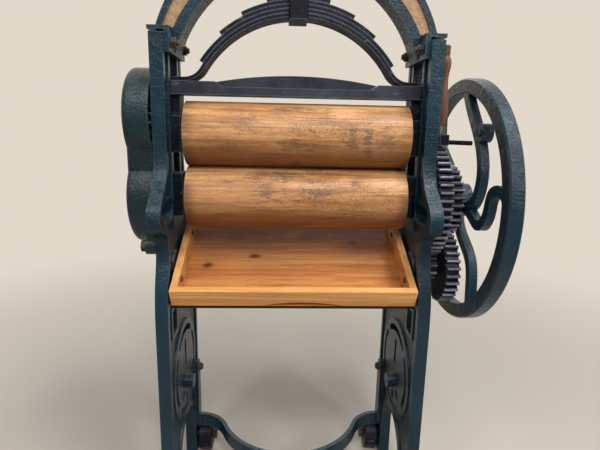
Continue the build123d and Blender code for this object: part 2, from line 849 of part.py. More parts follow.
# Flywheel: spoke middles are given from the wheel's centre as the photo shows them
with BuildPart() as flywheel:
    with BuildSketch(Plane.XY) as rim_section:
        with BuildLine():
            Polyline(
                (mid_x + fly_in, fly_radius - fly_rim_thin),
                (mid_x + fly_in, fly_radius - fly_edge),
                (mid_x + fly_in + fly_edge, fly_radius),
                (mid_x + fly_out - fly_edge, fly_radius),
                (mid_x + fly_out, fly_radius - fly_edge),
                (mid_x + fly_out, fly_radius - fly_rim_thin),
                (mid_x + spoke_out, fly_radius - fly_rim),
                (mid_x + spoke_in, fly_radius - fly_rim),
                close=True,
            )
        make_face()
        with Locations((mid_x + (fly_pinion_out + fly_hub_out) / 2, fly_hub / 2)):
            Rectangle(fly_hub_out - fly_pinion_out, fly_hub)
    revolve(axis=Axis.X)
    for turn in (0, 180):
        for route in (upper_spoke, front_spoke, lower_spoke):
            with BuildLine() as spoke_line:
                Spline(*[(fly_radius * y, fly_radius * z) for y, z in route])
            left, right = ribbon_edges(spoke_line.edges()[0], spoke_wide / 2)
            with BuildSketch(Plane.YZ.offset(mid_x + spoke_in)) as spoke_sketch:
                with BuildLine():
                    Spline(*left)
                    Spline(*right)
                    Line(left[0], right[0])
                    Line(left[-1], right[-1])
                make_face()
                if turn:
                    add(spoke_sketch.sketch_local.rotate(Axis.Z, turn), mode=Mode.REPLACE)
            extrude(amount=spoke_out - spoke_in)
    with BuildSketch(side_plane(spoke_in - crank_boss_out)) as crank_sketch:
        with Locations((crank_boss_y, crank_boss_z)):
            Circle(crank_boss)
    extrude(amount=spoke_out - spoke_in + 2 * crank_boss_out)
    with BuildSketch(side_plane(fly_pinion_out)) as fly_bore:
        Circle(shaft_radius + running)
    extrude(amount=fly_hub_out - fly_pinion_out, mode=Mode.SUBTRACT)
flywheel_part = flywheel.part.moved(Location((0, 0, lower_z)))
flywheel_part.label = "flywheel"
export_step(flywheel_part, "parts/flywheel.step")

with BuildPart() as crank_bolt:
    with BuildSketch(side_plane(spoke_in - crank_boss_out)) as crank_head:
        with Locations((crank_boss_y, lower_z + crank_boss_z)):
            RegularPolygon(crank_head_radius, 6)
    extrude(amount=-crank_head_thick)
crank_bolt.part.label = "crank_boss_bolt"
export_step(crank_bolt.part, "parts/crank_boss_bolt.step")

with BuildPart() as fly_nut:
    with BuildSketch(side_plane(fly_hub_out + nut_gap)) as fly_nut_sketch:
        with Locations((0, lower_z)):
            RegularPolygon(bolt_head + 8, 6)
            Circle(shaft_radius, mode=Mode.SUBTRACT)
    extrude(amount=right_reach - fly_hub_out - side_room)
fly_nut.part.label = "flywheel_nut"
export_step(fly_nut.part, "parts/flywheel_nut.step")

# Gear cover: a shell over both coupling gears, open towards the frame
with BuildPart() as cover:
    for shrink, depth, mode in (
        (0, cover_outer, Mode.ADD),
        (cover_wall, cover_outer - cover_wall, Mode.SUBTRACT),
    ):
        with BuildSketch(side_plane(-cover_inner)) as cover_outline:
            with Locations((0, lower_z)):
                Circle(cover_lower - shrink)
            with Locations((0, cover_upper_z)):
                Circle(cover_upper - shrink)
            with Locations((0, (cover_neck_low + cover_neck_high) / 2)):
                Rectangle(2 * (cover_neck - shrink), cover_neck_high - cover_neck_low)
        extrude(amount=cover_inner - depth, mode=mode)
        if mode == Mode.ADD:
            fillet(cover.faces().sort_by(Axis.X)[0].edges(), cover_round)
    with BuildSketch(side_plane(-frame_outer)) as cover_ears:
        with Locations((cover_ear_y, cover_ear_z)):
            Circle(cover_ear)
        with Locations((cover_tab_y, cover_tab_z)):
            Rectangle(cover_tab_wide, cover_tab_high)
    extrude(amount=-cover_ear_thick)
    with BuildSketch(side_plane(-frame_outer)) as ear_hole:
        with Locations((cover_ear_y, cover_ear_z)):
            Circle(bolt_radius + bolt_room)
    extrude(amount=-cover_ear_thick, mode=Mode.SUBTRACT)
cover.part.label = "gear_cover"
export_step(cover.part, "parts/gear_cover.step")

with BuildPart() as cover_bolt:
    with BuildSketch(side_plane(-frame_outer - cover_ear_thick)) as cover_head:
        with Locations((cover_ear_y, cover_ear_z)):
            RegularPolygon(bolt_head, 6)
    extrude(amount=-bolt_head_thick)
    with BuildSketch(side_plane(-frame_outer - cover_ear_thick)) as cover_shank:
        with Locations((cover_ear_y, cover_ear_z)):
            Circle(bolt_radius)
    extrude(amount=cover_ear_thick)
cover_bolt.part.label = "gear_cover_bolt"
export_step(cover_bolt.part, "parts/gear_cover_bolt.step")

# Tray boards, drawn in the slope of the tray
slope = radians(tray_slope)
tray_plane = Plane(
    origin=(mid_x, tray_front, tray_top_z), x_dir=(1, 0, 0), z_dir=(0, -sin(slope), cos(slope))
)
with BuildPart() as front_rail:
    with BuildSketch(tray_plane.offset(-tray_high)) as rail_sketch:
        with Locations((0, tray_wall / 2)):
            Rectangle(2 * tray_half, tray_wall)
    extrude(amount=tray_high)
    rail_plane = Plane(
        origin=(mid_x, tray_front, tray_top_z), x_dir=(1, 0, 0), z_dir=(0, -cos(slope), -sin(slope))
    )
    with BuildSketch(rail_plane) as rail_cut:
        with BuildLine():
            ThreePointArc(
                (arch_cut_middle - arch_cut_half, -tray_high),
                (arch_cut_middle, arch_cut_high - tray_high),
                (arch_cut_middle + arch_cut_half, -tray_high),
            )
            Line(
                (arch_cut_middle + arch_cut_half, -tray_high),
                (arch_cut_middle - arch_cut_half, -tray_high),
            )
        make_face()
    extrude(amount=-tray_wall, mode=Mode.SUBTRACT)
front_rail.part.label = "tray_front_rail"
export_step(front_rail.part, "parts/tray_front_rail.step")

for side, name in ((1, "right"), (-1, "left")):
    with BuildPart() as side_rail:
        with BuildSketch(tray_plane.offset(-tray_high)) as side_sketch:
            with Locations((side * (tray_half - tray_wall / 2), (tray_wall + tray_long) / 2)):
                Rectangle(tray_wall, tray_long - tray_wall)
        extrude(amount=tray_high)
    side_rail.part.label = "tray_" + name + "_rail"
    export_step(side_rail.part, "parts/tray_" + name + "_rail.step")

with BuildPart() as tray_floor:
    with BuildSketch(tray_plane.offset(-tray_high)) as floor_sketch:
        with Locations((0, tray_long / 2)):
            Rectangle(2 * tray_half, tray_long)
    extrude(amount=-tray_floor_thick)
tray_floor.part.label = "tray_floor"
export_step(tray_floor.part, "parts/tray_floor.step")

with BuildPart() as tray_screws:
    for side in (1, -1):
        for along in (tray_screw_near, tray_screw_far):
            screw_y = tray_front + along * cos(slope) + tray_screw_down * sin(slope)
            screw_z = tray_top_z + along * sin(slope) - tray_screw_down * cos(slope)
            with BuildSketch(side_plane(side * (tray_half - tray_wall))) as screw_head:
                with Locations((screw_y, screw_z)):
                    Circle(tray_screw_head)
            extrude(amount=-side * tray_screw_thick, taper=30)
tray_screws.part.label = "tray_screws"
export_step(tray_screws.part, "parts/tray_screws.step")

# Bottom stretcher: a bowed bar with upright end pads
with BuildPart() as stretcher:
    sweep_angle = radians(stretcher_sweep)
    pad_inner = frame_inner - stretcher_thick
    flare = (pad_inner - stretcher_radius * sin(sweep_angle)) / sin(sweep_angle)
    flare_x = mid_x + (stretcher_radius + flare) * sin(sweep_angle)
    flare_y = stretcher_centre_y - (stretcher_radius + flare) * cos(sweep_angle)
    with BuildSketch(Plane.XY.offset(stretcher_low)) as bow_half:
        with BuildLine():
            near = stretcher_radius + stretcher_thick / 2
            far = stretcher_radius - stretcher_thick / 2
            bow_near = CenterArc((mid_x, stretcher_centre_y), near, 270, stretcher_sweep)
            bow_far = CenterArc((mid_x, stretcher_centre_y), far, 270, stretcher_sweep)
            bend_near = CenterArc(
                (flare_x, flare_y), flare - stretcher_thick / 2, 90, stretcher_sweep
            )
            bend_far = CenterArc(
                (flare_x, flare_y), flare + stretcher_thick / 2, 90, stretcher_sweep
            )
            Line(bow_near @ 0, bow_far @ 0)
            Line(bend_near @ 0, bend_far @ 0)
        make_face()
    extrude(amount=stretcher_high - stretcher_low)
    with BuildSketch(side_plane(pad_inner)) as pad_sketch:
        with Locations(((pad_front + pad_back) / 2, (stretcher_low + pad_high) / 2)):
            Rectangle(pad_back - pad_front, pad_high - stretcher_low)
        fillet(pad_sketch.vertices().group_by(Axis.Z)[-1], pad_round)
        with Locations((pad_bolt_y, pad_bolt_z)):
            Circle(bolt_radius + bolt_room, mode=Mode.SUBTRACT)
    extrude(amount=stretcher_thick)
    mirror(about=Plane.YZ.offset(mid_x))
stretcher.part.label = "bottom_stretcher"
export_step(stretcher.part, "parts/bottom_stretcher.step")

with BuildPart() as stretcher_bolts:
    for side in (1, -1):
        with BuildSketch(side_plane(side * (frame_inner - stretcher_thick))) as round_head:
            with Locations((pad_bolt_y, pad_bolt_z)):
                Circle(bolt_head)
        extrude(amount=-side * bolt_head_thick, taper=25)
        with BuildSketch(side_plane(side * (frame_inner - stretcher_thick))) as pad_shank:
            with Locations((pad_bolt_y, pad_bolt_z)):
                Circle(bolt_radius)
        extrude(amount=side * (frame_thick + stretcher_thick + bolt_head_thick))
stretcher_bolts.part.label = "stretcher_bolts"
export_step(stretcher_bolts.part, "parts/stretcher_bolts.step")

# Rear wheels on fixed axles
with BuildPart() as axles:
    for side in (1, -1):
        with BuildSketch(side_plane(side * (rear_wheel_inner - bolt_head_thick - side_room))) as axle_head:
            with Locations((wheel_y, rear_wheel_z)):
                RegularPolygon(bolt_head + 2, 6)
        extrude(amount=side * bolt_head_thick)
        with BuildSketch(side_plane(side * (rear_wheel_inner - bolt_head_thick - side_room))) as axle_bar:
            with Locations((wheel_y, rear_wheel_z)):
                Circle(axle_radius)
        extrude(amount=side * (frame_outer + axle_end - rear_wheel_inner + bolt_head_thick + side_room))
        with BuildSketch(side_plane(side * (rear_wheel_outer + side_room))) as collar_sketch:
            with Locations((wheel_y, rear_wheel_z)):
                Circle(axle_collar)
        extrude(amount=side * (frame_inner - rear_wheel_outer - side_room))
axles.part.label = "rear_wheel_axles"
export_step(axles.part, "parts/rear_wheel_axles.step")

for side, name in ((1, "right"), (-1, "left")):
    with BuildPart() as rear_wheel:
        with BuildSketch(side_plane(side * rear_wheel_inner)) as wheel_sketch:
            with Locations((wheel_y, rear_wheel_z)):
                Circle(rear_wheel_radius)
                Circle(axle_radius + running, mode=Mode.SUBTRACT)
        extrude(amount=side * (rear_wheel_outer - rear_wheel_inner))
        fillet(rear_wheel.edges().filter_by(GeomType.CIRCLE).sort_by(SortBy.RADIUS)[-2:], rear_wheel_round)
    rear_wheel.part.label = "rear_wheel_" + name
    export_step(rear_wheel.part, "parts/rear_wheel_" + name + ".step")

# Handle, held upright on the right frame
with BuildPart() as handle_bracket:
    with BuildSketch(side_plane(frame_outer)) as plate_sketch:
        with Locations(((column_front - slot_half) / 2, handle_low + handle_arm_thick / 2)):
            Rectangle(handle_plate_wide, handle_arm_thick)
    extrude(amount=handle_plate)
    with BuildSketch(Plane.XY.offset(handle_low)) as arm_sketch:
        with Locations((mid_x + (frame_outer + handle_x + handle_arm_end) / 2, handle_y)):
            Rectangle(handle_x + handle_arm_end - frame_outer, handle_arm_wide)
        fillet(arm_sketch.vertices().group_by(Axis.X)[-1], 10)
        with Locations((mid_x + handle_x, handle_y)):
            Circle(spindle_radius, mode=Mode.SUBTRACT)
    extrude(amount=handle_arm_thick)
    rod_start = Vector(
        mid_x + handle_x + handle_arm_end / 2 + spindle_radius, handle_y, handle_low + cross_rod_rise
    )
    rod_end = Vector(
        mid_x + spoke_in - cross_rod_room, handle_y - cross_rod_forward, rod_start.Z
    )
    with BuildSketch(Plane(origin=rod_start, z_dir=rod_end - rod_start)) as rod_sketch:
        Circle(cross_rod)
    extrude(amount=(rod_end - rod_start).length)
handle_bracket.part.label = "handle_bracket"
export_step(handle_bracket.part, "parts/handle_bracket.step")

ferrule_low = handle_low + handle_arm_thick + grip_gap
with BuildPart() as ferrule:
    with BuildSketch(Plane.XY.offset(ferrule_low)) as ferrule_sketch:
        with Locations((mid_x + handle_x, handle_y)):
            Circle(ferrule_radius)
            Circle(spindle_radius + running, mode=Mode.SUBTRACT)
    extrude(amount=ferrule_high)
ferrule.part.label = "handle_ferrule"
export_step(ferrule.part, "parts/handle_ferrule.step")

grip_low = ferrule_low + ferrule_high
with BuildPart() as spindle:
    with BuildSketch(Plane.XY.offset(handle_low)) as spindle_sketch:
        with Locations((mid_x + handle_x, handle_y)):
            Circle(spindle_radius)
    extrude(amount=grip_low + grip_long + spindle_spare - handle_low)
spindle.part.label = "handle_spindle"
export_step(spindle.part, "parts/handle_spindle.step")

with BuildPart() as handle_nuts:
    for nut_low in (grip_low + grip_long + grip_gap, grip_low + grip_long + 2 * grip_gap + handle_nut_high):
        with BuildSketch(Plane.XY.offset(nut_low)) as handle_nut_sketch:
            with Locations((mid_x + handle_x, handle_y)):
                RegularPolygon(handle_nut, 6)
                Circle(spindle_radius, mode=Mode.SUBTRACT)
        extrude(amount=handle_nut_high)
handle_nuts.part.label = "handle_nuts"
export_step(handle_nuts.part, "parts/handle_nuts.step")

with BuildPart() as grip:
    with BuildSketch(Plane(
        origin=(mid_x + handle_x, handle_y, grip_low), x_dir=(1, 0, 0), z_dir=(0, -1, 0)
    )) as grip_sketch:
        with BuildLine():
            Line((spindle_radius + running, 0), (grip_radius - 4, 0))
            Spline(
                (grip_radius - 4, 0),
                (grip_radius, grip_long * 0.3),
                (grip_radius - 3, grip_long * 0.75),
                (grip_radius - 1, grip_long * 0.93),
                (grip_radius - 5, grip_long),
            )
            Polyline(
                (grip_radius - 5, grip_long),
                (spindle_radius + running, grip_long),
                (spindle_radius + running, 0),
            )
        make_face()
    revolve(axis=Axis((mid_x + handle_x, handle_y, 0), (0, 0, 1)))
grip.part.label = "handle_grip"
export_step(grip.part, "parts/handle_grip.step")
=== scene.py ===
import math

import bmesh
import bpy
from bpy.props import FloatProperty, FloatVectorProperty, PointerProperty
from mathutils import Matrix, Vector


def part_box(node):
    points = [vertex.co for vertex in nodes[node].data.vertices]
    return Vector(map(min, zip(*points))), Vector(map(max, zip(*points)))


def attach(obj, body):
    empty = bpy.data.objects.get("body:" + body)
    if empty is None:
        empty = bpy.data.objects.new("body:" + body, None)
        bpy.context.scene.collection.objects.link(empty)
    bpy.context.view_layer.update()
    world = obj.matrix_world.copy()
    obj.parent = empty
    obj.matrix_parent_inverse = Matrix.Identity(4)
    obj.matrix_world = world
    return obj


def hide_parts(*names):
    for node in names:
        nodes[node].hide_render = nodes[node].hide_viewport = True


bl_info = {
    "name": "Roller mangle",
    "version": (1, 0, 0),
    "blender": (4, 5, 0),
    "location": "View3D > Sidebar > Mangle",
    "description": "Dresses the frame of a hand-cranked roller mangle",
    "category": "Object",
}

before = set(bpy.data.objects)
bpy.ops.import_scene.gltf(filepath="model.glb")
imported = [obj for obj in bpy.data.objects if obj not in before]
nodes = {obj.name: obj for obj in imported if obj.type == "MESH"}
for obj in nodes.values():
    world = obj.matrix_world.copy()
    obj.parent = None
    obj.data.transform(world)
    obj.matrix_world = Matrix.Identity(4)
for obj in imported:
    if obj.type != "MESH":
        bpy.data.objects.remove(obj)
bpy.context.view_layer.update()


def node_middle(name):
    low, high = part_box(name)
    return (Vector(low) + Vector(high)) / 2


roller_axis = node_middle("lower_roller")
upper_axis = node_middle("upper_roller")
lay_axis = node_middle("lay_gear")
roller_low, roller_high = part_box("upper_roller")
roller_left = roller_low[0]
roller_right = roller_high[0]
frame_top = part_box("left_side_frame")[1][2]

# Sizes that the frame's boxes don't give, in metres, and the angle from which an edge is sharp.
arch_half_wide = 0.028
panel_recess = 0.004
panel_low = frame_top + 0.017
plane_room = 0.0006
tip_wear = 0.006
stain_reach = 0.05
sharp_angle = math.radians(35)


def colour_property(name, description, default):
    return FloatVectorProperty(
        name=name, description=description, default=default, size=3, min=0, max=1, subtype="COLOR"
    )


def length_property(name, description, default):
    return FloatProperty(name=name, description=description, default=default, min=0, unit="LENGTH")


def shaded(colour, factor):
    """The colour made darker or lighter by a factor."""
    return [min(1, part * factor) for part in colour]


def stain(x, y, z, wide, high, strength):
    """A patch on a roller's front, given as centre, reach and strength."""
    return (x, y, z), (wide, stain_reach, high), strength


class MangleSettings(bpy.types.PropertyGroup):
    paint: colour_property("Paint", "Teal paint on the castings", (0.0035, 0.029, 0.049))
    cover_paint: colour_property("Cover paint", "Greener paint on the gear cover", (0.006, 0.026, 0.031))
    # Dust bloom on top faces and specks; made lighter, it also colours the edges, which are worn paint and
    # painted highlight.
    paint_dust_and_edge_highlight: colour_property("Paint dust", "Grey-green bloom on top faces", (0.085, 0.125, 0.125))
    spring_iron: colour_property("Spring iron", "Graphite of the spring leaves", (0.011, 0.013, 0.021))
    beam_iron: colour_property("Beam iron", "Grey of the beam", (0.045, 0.050, 0.068))
    # Rubbed iron on edges and scuffs, and also painted highlight on edges and painted light on top faces.
    iron_wear_and_highlight: colour_property("Iron edge", "Rubbed graphite edges", (0.17, 0.19, 0.24))
    gear: colour_property("Gear", "Oiled dark gear metal", (0.010, 0.011, 0.018))
    gear_tip: colour_property("Gear tip", "Worn tooth tips", (0.22, 0.22, 0.29))
    roller_light: colour_property("Roller light", "Clean roller wood", (0.66, 0.355, 0.15))
    roller_dark: colour_property("Roller dark", "Deep roller grain", (0.26, 0.095, 0.026))
    roller_deep: colour_property("Roller deep", "Brown of cracks and ends", (0.060, 0.024, 0.010))
    # Painted shade on the roller undersides.
    roller_painted_shade: colour_property("Roller under", "Red-brown of the undersides", (0.15, 0.042, 0.006))
    stain: colour_property("Stain", "Grey water stains", (0.060, 0.048, 0.042))
    tray_light: colour_property("Tray light", "Clean tray wood", (0.66, 0.28, 0.085))
    tray_dark: colour_property("Tray dark", "Tray grain", (0.34, 0.105, 0.022))
    rail_light: colour_property("Rail light", "Clean rail wood", (0.86, 0.44, 0.15))
    rail_dark: colour_property("Rail dark", "Rail grain", (0.55, 0.235, 0.075))
    grip_wood: colour_property("Grip wood", "Worn handle wood", (0.22, 0.105, 0.065))
    rust: colour_property("Rust", "Rust on bolts", (0.075, 0.036, 0.022))
    rust_dark: colour_property("Rust dark", "Black scale on bolts", (0.02, 0.016, 0.015))
    rust_worn: colour_property("Rust worn", "Rubbed edges of bolts", (0.30, 0.22, 0.16))
    steel: colour_property("Steel", "Turned steel of the shafts", (0.22, 0.20, 0.19))
    steel_stain: colour_property("Steel stain", "Brown stain on steel", (0.07, 0.045, 0.035))
    panel: colour_property("Panel", "Bare gold panel of the arch", (0.45, 0.27, 0.14))
    backdrop: colour_property("Backdrop", "Pale studio backdrop", (0.76, 0.69, 0.595))
    ambient: colour_property("Ambient", "Tint of the light from all round", (0.95, 0.97, 1.0))
    casting_edge: length_property("Casting edge", "Rounding of the castings", 0.0022)
    beam_edge: length_property("Beam edge", "Rounding of the beam, buckle and bracket", 0.0025)
    roller_edge: length_property("Roller edge", "Rounding of the roller ends", 0.003)
    rail_edge: length_property("Rail edge", "Rounding of the tray rails", 0.002)
    small_edge: length_property("Small edge", "Rounding of leaves, fasteners and the ferrule", 0.0012)
    tooth_edge: length_property("Tooth edge", "Rounding of the gear teeth", 0.0008)
    thread_pitch: length_property("Thread pitch", "Pitch of the pressure screw", 0.005)
    lamp: FloatProperty(name="Lamp", description="Power that scales the lamps", default=58.0, unit="POWER")


class NodeTree:
    """A material's or world's node tree with short calls for its nodes."""

    def __init__(self, owner):
        owner.use_nodes = True
        self.tree = owner.node_tree

    def node(self, kind, inputs=None, **settings):
        made = self.tree.nodes.new(kind)
        for key, value in settings.items():
            setattr(made, key, value)
        for key, value in (inputs or {}).items():
            self.link(value, made.inputs[key])
        return made

    def link(self, value, socket):
        """Join a socket to a socket, or give it a plain number, vector or colour."""
        if isinstance(value, bpy.types.NodeSocket):
            self.tree.links.new(value, socket)
        elif socket.type == "RGBA":
            socket.default_value = (*value, 1)
        else:
            socket.default_value = value

    def math(self, kind, first, second=0.0):
        return self.node("ShaderNodeMath", {0: first, 1: second}, operation=kind).outputs[0]

    def blend(self, share, first, second):
        """A shader that goes from the first to the second."""
        return self.node("ShaderNodeMixShader", {0: share, 1: first, 2: second}).outputs[0]

    def show(self, shader, output):
        self.link(shader, self.tree.nodes[output].inputs["Surface"])


class Finish(NodeTree):
    """A named material that takes its patterns from the object's own coordinates."""

    def __init__(self, name):
        self.material = bpy.data.materials.new(name)
        super().__init__(self.material)
        self.shader = self.tree.nodes["Principled BSDF"]
        self.coords = self.node("ShaderNodeTexCoord")

    def place(self, stretch=(1, 1, 1), shift=(0, 0, 0)):
        mapping = self.node("ShaderNodeMapping", {"Vector": self.coords.outputs["Object"]})
        mapping.inputs["Scale"].default_value = stretch
        mapping.inputs["Location"].default_value = shift
        return mapping.outputs["Vector"]

    def noise(self, scale, detail, rough, stretch=(1, 1, 1), shift=(0, 0, 0), warp=0):
        """A cloud from 0 to 1; a stretch below 1 draws it out along that side."""
        made = self.node(
            "ShaderNodeTexNoise",
            {
                "Vector": self.place(stretch, shift),
                "Scale": scale,
                "Detail": detail,
                "Roughness": rough,
                "Distortion": warp,
            },
        )
        return made.outputs["Fac"]

    def spread(self, value, low, high, out_low=0.0, out_high=1.0):
        """Take low to high smoothly to another range, and hold its ends."""
        made = self.node(
            "ShaderNodeMapRange",
            {"Value": value, "From Min": low, "From Max": high, "To Min": out_low, "To Max": out_high},
            interpolation_type="SMOOTHSTEP",
        )
        return made.outputs[0]

    def mix(self, share, first, second):
        """The first colour turned into the second by a share from 0 to 1."""
        made = self.node("ShaderNodeMix", data_type="RGBA")
        self.link(share, made.inputs[0])
        self.link(first, made.inputs[6])
        self.link(second, made.inputs[7])
        return made.outputs[2]

    def layers(self, colour, rows):
        """Lay colours over one another, each given as field, low, high, share and colour."""
        for field, low, high, share, over in rows:
            colour = self.mix(self.spread(field, low, high, 0, share), colour, over)
        return colour

    def facing(self, side):
        """How far the surface faces X, Y or Z, from -1 to 1."""
        return self.node("ShaderNodeSeparateXYZ", {0: self.coords.outputs["Normal"]}).outputs[side]

    def places(self):
        """The X, Y and Z of a point of the object."""
        return self.node("ShaderNodeSeparateXYZ", {0: self.coords.outputs["Object"]}).outputs

    def from_axis(self, y, z):
        """How far a point lies from a line along X."""
        parts = self.places()
        across = self.math("SUBTRACT", parts["Y"], y)
        above = self.math("SUBTRACT", parts["Z"], z)
        squares = self.math("ADD", self.math("MULTIPLY", across, across), self.math("MULTIPLY", above, above))
        return self.math("SQRT", squares)

    def edges(self, radius):
        """1 at a sharp edge, 0 on a flat face."""
        soft = self.node("ShaderNodeBevel", {"Radius": radius}, samples=4).outputs[0]
        plain = self.node("ShaderNodeNewGeometry").outputs["Normal"]
        dot = self.node("ShaderNodeVectorMath", {0: soft, 1: plain}, operation="DOT_PRODUCT")
        return self.spread(dot.outputs["Value"], 0.99, 0.75)

    def mark(self, centre, reach, ragged, scale):
        """1 in a ragged patch round a point of the object, 0 outside it."""
        shift = self.node(
            "ShaderNodeVectorMath", {0: self.coords.outputs["Object"], 1: centre}, operation="SUBTRACT"
        )
        scaled = self.node(
            "ShaderNodeVectorMath", {0: shift.outputs[0], 1: reach}, operation="DIVIDE"
        )
        away = self.node("ShaderNodeVectorMath", {0: scaled.outputs[0]}, operation="LENGTH")
        torn = self.spread(self.noise(scale, 6, 0.75, (0.5, 1, 1)), 0.3, 0.7, -ragged, ragged)
        return self.spread(self.math("ADD", away.outputs["Value"], torn), 1.25, 0.25)

    def marks(self, places, ragged, scale):
        """The strongest of several patches, each given as centre, reach and strength."""
        whole = 0.0
        for centre, reach, strength in places:
            one = self.math("MULTIPLY", self.mark(centre, reach, ragged, scale), strength)
            whole = self.math("MAXIMUM", whole, one)
        return whole

    def cracks(self, scale, width, stretch):
        """1 on the lines of a net of cells, 0 between them."""
        cells = self.node(
            "ShaderNodeTexVoronoi",
            {"Vector": self.place(stretch), "Scale": scale, "Randomness": 1.0},
            feature="DISTANCE_TO_EDGE",
        )
        return self.spread(cells.outputs["Distance"], width, 0.0)

    def bump(self, height, distance, strength, under=None):
        """A bumped normal, laid over another where one is given."""
        inputs = {"Height": height, "Distance": distance, "Strength": strength}
        if under is not None:
            inputs["Normal"] = under
        return self.node("ShaderNodeBump", inputs).outputs[0]

    def set(self, **values):
        """Give the shader its values, and return the material."""
        names = {
            "colour": "Base Color",
            "rough": "Roughness",
            "metal": "Metallic",
            "normal": "Normal",
            "shine": "Specular IOR Level",
        }
        for key, value in values.items():
            self.link(value, self.shader.inputs[names[key]])
        return self.material


def paint_finish(name, settings, paint, dust_share=1.0):
    """Pebbled oil paint with bloom on top faces, and edges made lighter as worn paint and painted highlight.
    """
    made = Finish(name)
    broad = made.noise(8, 4, 0.6)
    fine = made.noise(420, 3, 0.65)
    pebble = made.noise(190, 4, 0.6)
    waves = made.noise(55, 3, 0.5)
    colour = made.layers(paint, [(broad, 0.35, 0.68, 0.75, shaded(paint, 0.35))])
    top = made.spread(made.facing("Z"), 0.4, 0.95, 0, 0.5 * dust_share)
    patchy = made.math("MULTIPLY", top, made.spread(pebble, 0.35, 0.62))
    colour = made.mix(patchy, colour, settings.paint_dust_and_edge_highlight)
    # Edges made lighter: worn paint and painted edge highlight.
    worn = made.math("MULTIPLY", made.edges(0.004), made.spread(fine, 0.46, 0.62, 0, 0.6))
    colour = made.mix(worn, colour, shaded(settings.paint_dust_and_edge_highlight, 1.7))
    specks = made.math("MULTIPLY", made.spread(fine, 0.62, 0.70), made.spread(broad, 0.4, 0.6, 0.1, 0.6))
    colour = made.mix(made.math("MULTIPLY", specks, 0.5), colour, settings.paint_dust_and_edge_highlight)
    normal = made.bump(waves, 0.004, 0.4)
    normal = made.bump(pebble, 0.0022, 0.7, normal)
    normal = made.bump(fine, 0.0008, 0.4, normal)
    return made.set(
        colour=colour,
        rough=made.spread(pebble, 0.3, 0.75, 0.12, 0.28),
        normal=normal,
        shine=0.3,
    )


def iron_finish(name, settings, base, smoothest=0.32):
    """Bare iron with scuffs, edges made lighter as rubbed iron and painted highlight, and painted light on
    top faces.
    """
    made = Finish(name)
    broad = made.noise(14, 5, 0.65)
    fine = made.noise(300, 4, 0.7)
    waves = made.noise(60, 3, 0.5)
    colour = made.layers(base, [(broad, 0.35, 0.7, 1, shaded(base, 0.4))])
    # Edges made lighter: rubbed iron and painted edge highlight.
    worn = made.math("MULTIPLY", made.edges(0.003), made.spread(fine, 0.3, 0.6, 0.3, 1.0))
    colour = made.mix(worn, colour, settings.iron_wear_and_highlight)
    # Painted light: faces turned up are made lighter, as if lit from above.
    top = made.spread(made.facing("Z"), 0.75, 1.0, 0, 0.25)
    colour = made.mix(made.math("MULTIPLY", top, made.spread(fine, 0.4, 0.6)), colour, settings.iron_wear_and_highlight)
    scuffs = made.math("MULTIPLY", made.spread(made.noise(90, 6, 0.8, (0.3, 1, 1)), 0.58, 0.66), 0.45)
    colour = made.mix(scuffs, colour, settings.iron_wear_and_highlight)
    normal = made.bump(waves, 0.002, 0.3)
    return made.set(
        colour=colour,
        rough=made.spread(broad, 0.3, 0.7, smoothest, smoothest + 0.22),
        metal=0.1,
        normal=made.bump(fine, 0.0008, 0.5, normal),
        shine=0.14,
    )


def gear_finish(name, settings, axis, tip):
    """Oiled dark metal whose tooth tips are worn bright."""
    made = Finish(name)
    radius = made.from_axis(axis.y, axis.z)
    fine = made.noise(220, 4, 0.7)
    tips = made.spread(radius, tip - tip_wear, tip - settings.tooth_edge)
    tips = made.math("MULTIPLY", tips, made.spread(fine, 0.3, 0.6, 0.35, 1.0))
    colour = made.mix(tips, settings.gear, settings.gear_tip)
    worn = made.math("MULTIPLY", made.edges(0.002), made.spread(fine, 0.35, 0.6, 0.0, 0.5))
    colour = made.mix(worn, colour, settings.gear_tip)
    return made.set(
        colour=colour,
        rough=made.spread(fine, 0.3, 0.7, 0.3, 0.6),
        metal=0.4,
        normal=made.bump(fine, 0.0008, 0.5),
    )


